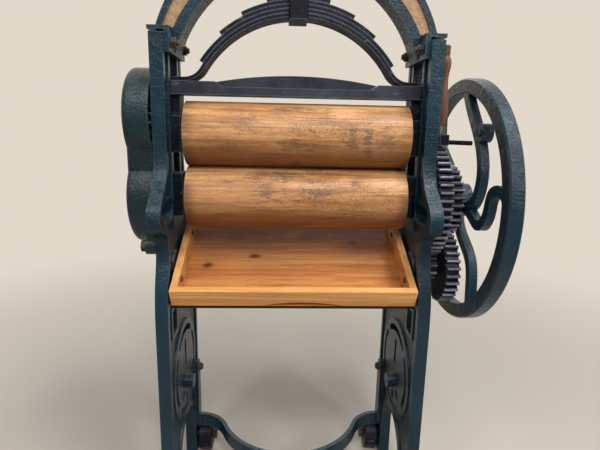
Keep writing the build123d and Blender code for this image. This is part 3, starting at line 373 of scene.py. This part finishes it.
def roller_finish(name, settings, shift, stains, crackled):
    """Old wood with grain along X, stains, crackle, dark ends and painted shade on the undersides."""
    made = Finish(name)
    grain = made.noise(90, 6, 0.66, (0.045, 1, 1), (shift, 0, 0), 0.35)
    lines = made.noise(230, 4, 0.7, (0.03, 1, 1), (shift + 5, 0, 0), 0.15)
    fibres = made.noise(520, 4, 0.7, (0.10, 1, 1), (shift + 1, 0, 0))
    broad = made.noise(8, 5, 0.6, (0.5, 1, 1), (shift, 0, 0), 0.8)
    pores = made.noise(700, 3, 0.7, (0.5, 1, 1), (shift, 0, 0))
    colour = made.layers(
        settings.roller_light,
        [
            (grain, 0.38, 0.68, 0.8, settings.roller_dark),
            (broad, 0.42, 0.72, 0.5, settings.roller_dark),
            (pores, 0.52, 0.66, 0.6, settings.roller_dark),
            (fibres, 0.5, 0.62, 0.5, settings.roller_dark),
            (lines, 0.60, 0.68, 0.6, settings.roller_deep),
        ],
    )
    bleached = made.noise(20, 4, 0.6, (0.3, 1, 1), (shift, 4, 0))
    colour = made.layers(colour, [(bleached, 0.55, 0.72, 0.4, shaded(settings.roller_light, 1.35))])
    # Painted shade: faces turned down are made darker red-brown.
    colour = made.layers(colour, [(made.facing("Z"), 0.15, -0.75, 0.75, settings.roller_painted_shade)])
    smoky = made.math("MULTIPLY", made.marks(stains, 0.9, 90), made.spread(pores, 0.42, 0.58, 0.35, 1.0))
    colour = made.mix(smoky, colour, settings.stain)
    net = made.math("MULTIPLY", made.cracks(300, 0.14, (0.45, 1, 1)), made.marks(crackled, 0.8, 45))
    colour = made.mix(made.math("MULTIPLY", net, 0.6), colour, settings.roller_deep)
    streaks = made.noise(30, 8, 0.75, (0.18, 1, 1), (shift + 3, 1, 0), 1.4)
    patches = made.noise(6, 3, 0.5, (0.6, 1, 1), (shift + 7, 2, 0))
    dashes = made.math("MULTIPLY", made.spread(streaks, 0.57, 0.66), made.spread(patches, 0.47, 0.6))
    colour = made.mix(made.math("MULTIPLY", dashes, 0.7), colour, settings.roller_deep)
    along = made.places()["X"]
    left = made.spread(along, roller_left + 0.002, roller_left + 0.03, 0.6, 0)
    right = made.spread(along, roller_right - 0.03, roller_right - 0.002, 0, 0.6)
    ends = made.math("MULTIPLY", made.math("MAXIMUM", left, right), made.spread(broad, 0.35, 0.6))
    colour = made.mix(ends, colour, settings.roller_deep)
    splits = made.math("MULTIPLY", made.spread(lines, 0.60, 0.72), -1.0)
    normal = made.bump(splits, 0.0014, 0.5)
    normal = made.bump(grain, 0.0010, 0.35, normal)
    return made.set(
        colour=colour,
        rough=made.spread(broad, 0.3, 0.7, 0.38, 0.55),
        normal=normal,
        shine=0.3,
    )


def board_finish(name, settings, light, dark, along, seed, knots=(), painted_shade=(), painted_shade_front=False):
    """Planed wood with its grain along side 0, 1 or 2, with optional patches of painted shade and a front
    face darkened as painted shade.
    """
    made = Finish(name)
    stretch = [1, 1, 1]
    stretch[along] = 0.05
    slow = [1, 1, 1]
    slow[along] = 0.3
    grain = made.noise(95, 5, 0.62, stretch, (seed, seed, 0), 0.3)
    rings = made.noise(20, 4, 0.55, stretch, (seed + 2, 0, 0), 0.9)
    fibres = made.noise(480, 4, 0.7, [0.3 if part < 1 else 1 for part in stretch], (seed + 1, 0, 0))
    lines = made.noise(260, 4, 0.7, stretch, (seed + 4, 0, 0))
    broad = made.noise(6, 4, 0.55, slow, (seed, 3, 1))
    colour = made.layers(
        light,
        [
            (grain, 0.35, 0.68, 0.65, dark),
            (rings, 0.50, 0.66, 0.7, dark),
            (lines, 0.56, 0.68, 0.5, shaded(dark, 0.6)),
            (fibres, 0.52, 0.64, 0.35, dark),
            (broad, 0.45, 0.75, 0.3, shaded(dark, 0.75)),
        ],
    )
    pale = made.noise(28, 3, 0.6, stretch, (seed + 9, 0, 0))
    colour = made.layers(colour, [(pale, 0.58, 0.7, 0.4, shaded(light, 1.3))])
    if knots:
        colour = made.mix(made.marks(knots, 0.35, 120), colour, settings.roller_deep)
    if painted_shade:
        # Painted shade: darker patches where shade falls on the board.
        colour = made.mix(made.marks(painted_shade, 0.3, 25), colour, shaded(dark, 0.5))
    # Painted shade: faces turned to the front are made nearly black, as the front edge of the floor lies in
    # shadow under the rail.
    if painted_shade_front:
        front = made.facing("Y")
        colour = made.layers(colour, [(front, -0.4, -0.7, 1, shaded(settings.roller_deep, 0.35))])
    return made.set(
        colour=colour,
        rough=made.spread(broad, 0.3, 0.7, 0.34, 0.5),
        normal=made.bump(grain, 0.0008, 0.35),
        shine=0.16,
    )


def rust_finish(name, settings):
    """Rusty steel with rubbed edges."""
    made = Finish(name)
    fine = made.noise(240, 5, 0.7)
    broad = made.noise(60, 3, 0.6)
    colour = made.layers(settings.rust, [(broad, 0.35, 0.65, 1, settings.rust_dark)])
    worn = made.math("MULTIPLY", made.edges(0.002), made.spread(fine, 0.3, 0.6))
    colour = made.mix(worn, colour, settings.rust_worn)
    return made.set(
        colour=colour,
        rough=made.spread(fine, 0.3, 0.7, 0.45, 0.8),
        metal=0.3,
        normal=made.bump(fine, 0.0008, 0.6),
    )


def steel_finish(name, settings):
    """Turned steel with fine rings and brown stains."""
    made = Finish(name)
    rings = made.noise(300, 3, 0.6, (1, 0.2, 0.2))
    broad = made.noise(40, 4, 0.6)
    colour = made.layers(settings.steel, [(broad, 0.4, 0.7, 1, settings.steel_stain)])
    return made.set(
        colour=colour,
        metal=0.8,
        rough=made.spread(rings, 0.3, 0.7, 0.28, 0.5),
        normal=made.bump(rings, 0.0004, 0.4),
    )


def arch_finish(name, settings):
    """Teal casting whose front recess is a bare gold panel."""
    made = Finish(name)
    pebble = made.noise(190, 4, 0.6)
    fine = made.noise(420, 3, 0.65)
    parts = made.places()
    recess = made.math("COMPARE", parts["Y"], panel_recess - arch_half_wide)
    recess.node.inputs[2].default_value = plane_room
    recess = made.math("MULTIPLY", recess, made.math("GREATER_THAN", parts["Z"], panel_low))
    blotches = made.noise(45, 6, 0.75)
    gold = made.layers(
        settings.panel,
        [
            (blotches, 0.35, 0.7, 1, shaded(settings.panel, 0.55)),
            (fine, 0.55, 0.7, 0.5, shaded(settings.panel, 1.5)),
        ],
    )
    broad = made.noise(9, 4, 0.6)
    teal = made.layers(settings.paint, [(broad, 0.35, 0.7, 0.7, shaded(settings.paint, 0.35))])
    # Edges made lighter: worn paint and painted edge highlight.
    worn = made.math("MULTIPLY", made.edges(0.004), made.spread(fine, 0.44, 0.62, 0, 0.75))
    teal = made.mix(worn, teal, shaded(settings.paint_dust_and_edge_highlight, 1.6))
    return made.set(
        colour=made.mix(recess, teal, gold),
        rough=made.spread(pebble, 0.3, 0.75, 0.2, 0.45),
        normal=made.bump(pebble, 0.0022, 0.6),
        shine=0.36,
    )


def dress(names, material):
    """Give every face of the named nodes one material."""
    for name in names:
        shown = nodes[name]
        if not shown.material_slots:
            shown.data.materials.append(material)
        for held in shown.material_slots:
            held.material = material


def soften(names, width, segments=2):
    """Round the sharp edges of the named nodes."""
    for name in names:
        rounding = nodes[name].modifiers.new("rounded edges", "BEVEL")
        rounding.width = width
        rounding.segments = segments
        rounding.limit_method = "ANGLE"
        rounding.angle_limit = sharp_angle


class MANGLE_OT_castings(bpy.types.Operator):
    """Paint the side frames, arch, cover, stretcher and flywheel"""

    bl_idname = "mangle.castings"
    bl_label = "Castings"

    def execute(self, context):
        settings = context.scene.mangle
        paint = paint_finish("teal paint", settings, settings.paint)
        dress(("left_side_frame", "right_side_frame", "bottom_stretcher"), paint)
        dress(("gear_cover",), paint_finish("cover paint", settings, settings.cover_paint))
        dress(("flywheel",), paint_finish("flywheel paint", settings, settings.paint, 0.7))
        dress(("top_arch",), arch_finish("arch paint", settings))
        soften(("left_side_frame", "right_side_frame", "top_arch"), settings.casting_edge)
        soften(("flywheel", "bottom_stretcher"), settings.casting_edge * 1.4)
        return {"FINISHED"}


class MANGLE_OT_spring(bpy.types.Operator):
    """Finish the leaf spring, beam, push blocks and bearings"""

    bl_idname = "mangle.spring"
    bl_label = "Spring and beam"

    def execute(self, context):
        settings = context.scene.mangle
        dark = iron_finish("graphite iron", settings, settings.spring_iron)
        names = [name for name in nodes if name.startswith("spring_")]
        names += [name for name in nodes if "bearing" in name or "push_block" in name]
        names += ["handle_bracket", "screw_handwheel", "rear_wheel_left", "rear_wheel_right"]
        dress(names, dark)
        dress(("pressure_beam",), iron_finish("beam iron", settings, settings.beam_iron, 0.28))
        soften([name for name in names if name.startswith("spring_leaf")], settings.small_edge)
        soften(("pressure_beam", "spring_buckle", "handle_bracket"), settings.beam_edge)
        return {"FINISHED"}


class MANGLE_OT_gears(bpy.types.Operator):
    """Finish the gears with worn tooth tips"""

    bl_idname = "mangle.gears"
    bl_label = "Gears"

    def execute(self, context):
        settings = context.scene.mangle
        # Each gear's name, its axis and the radius of its tooth tips.
        for name, axis, tip in (
            ("output_gear", roller_axis, 0.1245),
            ("flywheel_pinion", roller_axis, 0.077),
            ("lay_gear", lay_axis, 0.077),
            ("lay_pinion", lay_axis, 0.0295),
            ("lower_coupling_gear", roller_axis, 0.0714),
            ("upper_coupling_gear", upper_axis, 0.0714),
        ):
            dress((name,), gear_finish(name.replace("_", " "), settings, axis, tip))
            soften((name,), settings.tooth_edge)
        return {"FINISHED"}


class MANGLE_OT_rollers(bpy.types.Operator):
    """Finish the wooden rollers and their shafts"""

    bl_idname = "mangle.rollers"
    bl_label = "Rollers"

    def execute(self, context):
        settings = context.scene.mangle
        upper_stains = (
            stain(-0.133, -0.060, 0.898, 0.022, 0.022, 0.45),
            stain(-0.158, -0.061, 0.850, 0.018, 0.009, 0.5),
            stain(-0.022, -0.063, 0.854, 0.045, 0.011, 0.65),
            stain(0.082, -0.065, 0.866, 0.016, 0.022, 0.8),
            stain(0.114, -0.065, 0.863, 0.009, 0.032, 0.85),
            stain(0.150, -0.063, 0.864, 0.024, 0.020, 0.6),
            stain(-0.036, -0.039, 0.924, 0.050, 0.005, 0.75),
            stain(-0.026, -0.034, 0.815, 0.012, 0.006, 0.9),
        )
        lower_stains = (
            stain(-0.075, -0.043, 0.788, 0.060, 0.010, 0.7),
            stain(-0.088, -0.063, 0.756, 0.026, 0.024, 0.7),
            stain(0.017, -0.062, 0.761, 0.034, 0.016, 0.8),
            stain(0.090, -0.055, 0.775, 0.010, 0.007, 0.85),
            stain(-0.172, -0.053, 0.777, 0.014, 0.004, 0.7),
            stain(0.016, -0.028, 0.798, 0.030, 0.006, 0.75),
        )
        upper_crackle = (((0.07, -0.062, 0.890), (0.14, 0.06, 0.035), 1.0),)
        lower_crackle = (((0.05, -0.063, 0.750), (0.14, 0.06, 0.040), 1.0),)
        upper = roller_finish("upper roller wood", settings, 0.0, upper_stains, upper_crackle)
        lower = roller_finish("lower roller wood", settings, 11.0, lower_stains, lower_crackle)
        dress(("upper_roller",), upper)
        dress(("lower_roller",), lower)
        soften(("upper_roller", "lower_roller"), settings.roller_edge, 3)
        steel = steel_finish("turned steel", settings)
        dress(("upper_shaft", "lower_shaft", "lay_stud", "handle_spindle"), steel)
        return {"FINISHED"}


class MANGLE_OT_screw(bpy.types.Operator):
    """Build the threaded pressure screw"""

    bl_idname = "mangle.screw"
    bl_label = "Pressure screw"

    def execute(self, context):
        settings = context.scene.mangle
        low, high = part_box("pressure_screw")
        centre = node_middle("pressure_screw")
        box_room = 0.00002
        crest = (high[0] - low[0]) / 2 - box_room
        depth = settings.thread_pitch * 0.3
        flank_slope = 1.6
        crest_share = 0.3
        around = 32
        rows_in_turn = 10
        rows = math.ceil((high[2] - low[2]) / settings.thread_pitch * rows_in_turn)
        thread = bmesh.new()
        rings = []
        for row in range(rows + 1):
            z = low[2] + (high[2] - low[2]) * row / rows
            end_cut = max(0, depth - min(z - low[2], high[2] - z))
            ring = []
            for step in range(around):
                turn = (z / settings.thread_pitch - step / around) % 1
                cut = depth * min(1, max(0, flank_slope * abs(2 * turn - 1) - crest_share))
                radius = crest - max(cut, end_cut)
                angle = 2 * math.pi * step / around
                place = (centre.x + radius * math.cos(angle), centre.y + radius * math.sin(angle), z)
                ring.append(thread.verts.new(place))
            rings.append(ring)
        for under, over in zip(rings, rings[1:]):
            for step in range(around):
                after = (step + 1) % around
                thread.faces.new((under[step], under[after], over[after], over[step]))
        thread.faces.new(list(reversed(rings[0])))
        thread.faces.new(rings[-1])
        mesh = bpy.data.meshes.new("pressure_screw_thread")
        thread.to_mesh(mesh)
        thread.free()
        mesh.materials.append(steel_finish("threaded steel", settings))
        piece = bpy.data.objects.new("pressure_screw_thread", mesh)
        bpy.context.scene.collection.objects.link(piece)
        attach(piece, "screw")
        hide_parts("pressure_screw")
        return {"FINISHED"}


class MANGLE_OT_tray(bpy.types.Operator):
    """Finish the tray boards"""

    bl_idname = "mangle.tray"
    bl_label = "Tray"

    def execute(self, context):
        settings = context.scene.mangle
        # Each knot and each patch of painted shade as centre, reach and strength: the back patch is a painted
        # shadow of the lower roller, the two by the rails painted shade in the inside corners.
        knots = (
            ((-0.218, -0.003, 0.585), (0.016, 0.008, 0.02), 0.9),
            ((-0.116, 0.025, 0.599), (0.017, 0.007, 0.02), 0.95),
            ((0.113, 0.070, 0.621), (0.013, 0.008, 0.02), 0.8),
        )
        painted_shade = (
            ((0.20, 0.01, 0.59), (0.03, 0.10, 0.08), 0.6),
            ((-0.029, 0.125, 0.64), (0.60, 0.062, 0.2), 0.85),
            ((-0.27, -0.03, 0.57), (0.02, 0.05, 0.05), 0.5),
        )
        light, dark = settings.tray_light, settings.tray_dark
        floor = board_finish("tray floor wood", settings, light, dark, 0, 2.0, knots, painted_shade, painted_shade_front=True)
        light, dark = settings.rail_light, settings.rail_dark
        rail = board_finish("front rail wood", settings, light, dark, 0, 5.0)
        sides = board_finish("side rail wood", settings, light, dark, 1, 8.0)
        dress(("tray_floor",), floor)
        dress(("tray_front_rail",), rail)
        dress(("tray_left_rail", "tray_right_rail"), sides)
        soften(("tray_front_rail", "tray_left_rail", "tray_right_rail"), settings.rail_edge)
        return {"FINISHED"}


class MANGLE_OT_fasteners(bpy.types.Operator):
    """Rust the bolts, nuts and screws"""

    bl_idname = "mangle.fasteners"
    bl_label = "Fasteners"

    def execute(self, context):
        settings = context.scene.mangle
        names = [name for name in nodes if "bolt" in name or "nut" in name or "screws" in name]
        names += ["rear_wheel_axles"]
        names.remove("crank_boss_bolt")
        dress(names, rust_finish("rusty steel", settings))
        dress(("crank_boss_bolt",), iron_finish("bolt iron", settings, settings.beam_iron))
        soften(names, settings.small_edge)
        return {"FINISHED"}


class MANGLE_OT_handle(bpy.types.Operator):
    """Finish the turned handle grip"""

    bl_idname = "mangle.handle"
    bl_label = "Handle"

    def execute(self, context):
        settings = context.scene.mangle
        dark = shaded(settings.grip_wood, 0.4)
        dress(("handle_grip",), board_finish("grip wood", settings, settings.grip_wood, dark, 2, 4.0))
        dress(("handle_ferrule",), steel_finish("ferrule steel", settings))
        soften(("handle_ferrule",), settings.small_edge)
        return {"FINISHED"}


class MANGLE_OT_stage(bpy.types.Operator):
    """Lay the floor, lamps, world and camera"""

    bl_idname = "mangle.stage"
    bl_label = "Stage"

    def execute(self, context):
        settings = context.scene.mangle
        self.lay_floor(settings)
        self.light_world(settings)
        self.hang_lamps(settings)
        self.set_camera()
        return {"FINISHED"}

    def lay_floor(self, settings):
        """A plain floor that keeps the shadow and fades into the backdrop."""
        reach = 14
        fade_near = 0.5
        fade_far = 2.6
        floor_mesh = bpy.data.meshes.new("studio_floor")
        corners = [(-reach, -reach, 0), (reach, -reach, 0), (reach, reach, 0), (-reach, reach, 0)]
        floor_mesh.from_pydata(corners, [], [(0, 1, 2, 3)])
        floor = bpy.data.objects.new("studio_floor", floor_mesh)
        bpy.context.scene.collection.objects.link(floor)
        look = Finish("studio floor")
        look.set(colour=shaded(settings.backdrop, 0.85), rough=0.9, shine=0.1)
        ground = look.places()
        across = look.math("MULTIPLY", ground["X"], ground["X"])
        deep = look.math("MULTIPLY", ground["Y"], ground["Y"])
        away = look.math("SQRT", look.math("ADD", across, deep))
        seen = look.node("ShaderNodeLightPath").outputs["Is Camera Ray"]
        fade = look.math("MULTIPLY", look.spread(away, fade_near, fade_far), seen)
        pale = look.node("ShaderNodeEmission", {"Color": settings.backdrop, "Strength": 1.0})
        look.show(look.blend(fade, look.shader.outputs[0], pale.outputs[0]), "Material Output")
        floor_mesh.materials.append(look.material)

    def light_world(self, settings):
        """Soft light from all round, and a pale backdrop where it is seen or mirrored."""
        ambient_strength = 0.17
        world = bpy.data.worlds.new("studio")
        bpy.context.scene.world = world
        sky = NodeTree(world)
        rays = sky.node("ShaderNodeLightPath").outputs
        shown_rays = rays["Is Camera Ray"]
        for ray in ("Is Glossy Ray", "Is Transmission Ray"):
            shown_rays = sky.math("MAXIMUM", shown_rays, rays[ray])
        ambient = sky.tree.nodes["Background"]
        sky.link(settings.ambient, ambient.inputs["Color"])
        sky.link(ambient_strength, ambient.inputs["Strength"])
        shown = sky.node("ShaderNodeBackground", {"Color": settings.backdrop, "Strength": 1.0})
        sky.show(sky.blend(shown_rays, ambient.outputs[0], shown.outputs[0]), "World Output")

    def hang_lamps(self, settings):
        """Square lamps, each given as name, place, aim, size and share of the power."""
        for name, place, aim, size, share in (
            ("ceiling lamp", (0.8, -0.8, 3.0), (0, 0, 0.8), 0.6, 0.65),
            ("front lamp", (0.1, -2.2, 2.9), (0, 0, 0.7), 0.8, 0.7),
            ("side lamp", (1.6, -2.2, 2.0), (0, 0, 0.7), 0.5, 0.3),
            ("left lamp", (-1.2, -1.7, 2.7), (0, 0, 0.8), 0.5, 0.25),
            ("back lamp", (0.2, 2.2, 2.8), (0, 0, 0.8), 1.8, 0.3),
        ):
            data = bpy.data.lights.new(name, "AREA")
            data.shape = "SQUARE"
            data.size = size
            data.energy = settings.lamp * share
            lamp = bpy.data.objects.new(name, data)
            lamp.location = place
            lamp.rotation_euler = (Vector(aim) - Vector(place)).to_track_quat("-Z", "Y").to_euler()
            bpy.context.scene.collection.objects.link(lamp)

    def set_camera(self):
        """The camera that was fitted to the photograph."""
        place = (-0.062, -0.9819, 0.88899)
        lens = 27.355
        sensor = 36
        yaw = math.radians(2.67)
        pitch = math.radians(12.124)
        roll = math.radians(-1.22)
        forward = Vector(
            (math.sin(yaw) * math.cos(pitch), math.cos(yaw) * math.cos(pitch), -math.sin(pitch))
        )
        level = Vector((math.cos(yaw), -math.sin(yaw), 0))
        down = forward.cross(level)
        right = math.cos(roll) * level + math.sin(roll) * down
        low = -math.sin(roll) * level + math.cos(roll) * down
        turn = Matrix((right, -low, -forward)).transposed().to_4x4()
        camera_data = bpy.data.cameras.new("photo camera")
        camera_data.lens = lens
        camera_data.sensor_width = sensor
        camera = bpy.data.objects.new("photo camera", camera_data)
        camera.matrix_world = Matrix.Translation(place) @ turn
        bpy.context.scene.collection.objects.link(camera)
        bpy.context.scene.camera = camera
        bpy.context.scene.view_settings.view_transform = "Standard"


class MANGLE_PT_panel(bpy.types.Panel):
    """Sidebar panel with the colours, sizes and pieces"""

    bl_idname = "MANGLE_PT_panel"
    bl_label = "Roller mangle"
    bl_space_type = "VIEW_3D"
    bl_region_type = "UI"
    bl_category = "Mangle"

    def draw(self, context):
        for name in MangleSettings.__annotations__:
            self.layout.prop(context.scene.mangle, name)
        for piece in operators:
            self.layout.operator(piece.bl_idname)


operators = (
    MANGLE_OT_castings,
    MANGLE_OT_spring,
    MANGLE_OT_gears,
    MANGLE_OT_rollers,
    MANGLE_OT_screw,
    MANGLE_OT_tray,
    MANGLE_OT_fasteners,
    MANGLE_OT_handle,
    MANGLE_OT_stage,
)


def register():
    for item in (MangleSettings, *operators, MANGLE_PT_panel):
        bpy.utils.register_class(item)
    bpy.types.Scene.mangle = PointerProperty(type=MangleSettings)


def unregister():
    del bpy.types.Scene.mangle
    for item in reversed((MangleSettings, *operators, MANGLE_PT_panel)):
        bpy.utils.unregister_class(item)


def main():
    register()
    for piece in operators:
        group, action = piece.bl_idname.split(".")
        getattr(getattr(bpy.ops, group), action)()


if __name__ == "__main__":
    main()
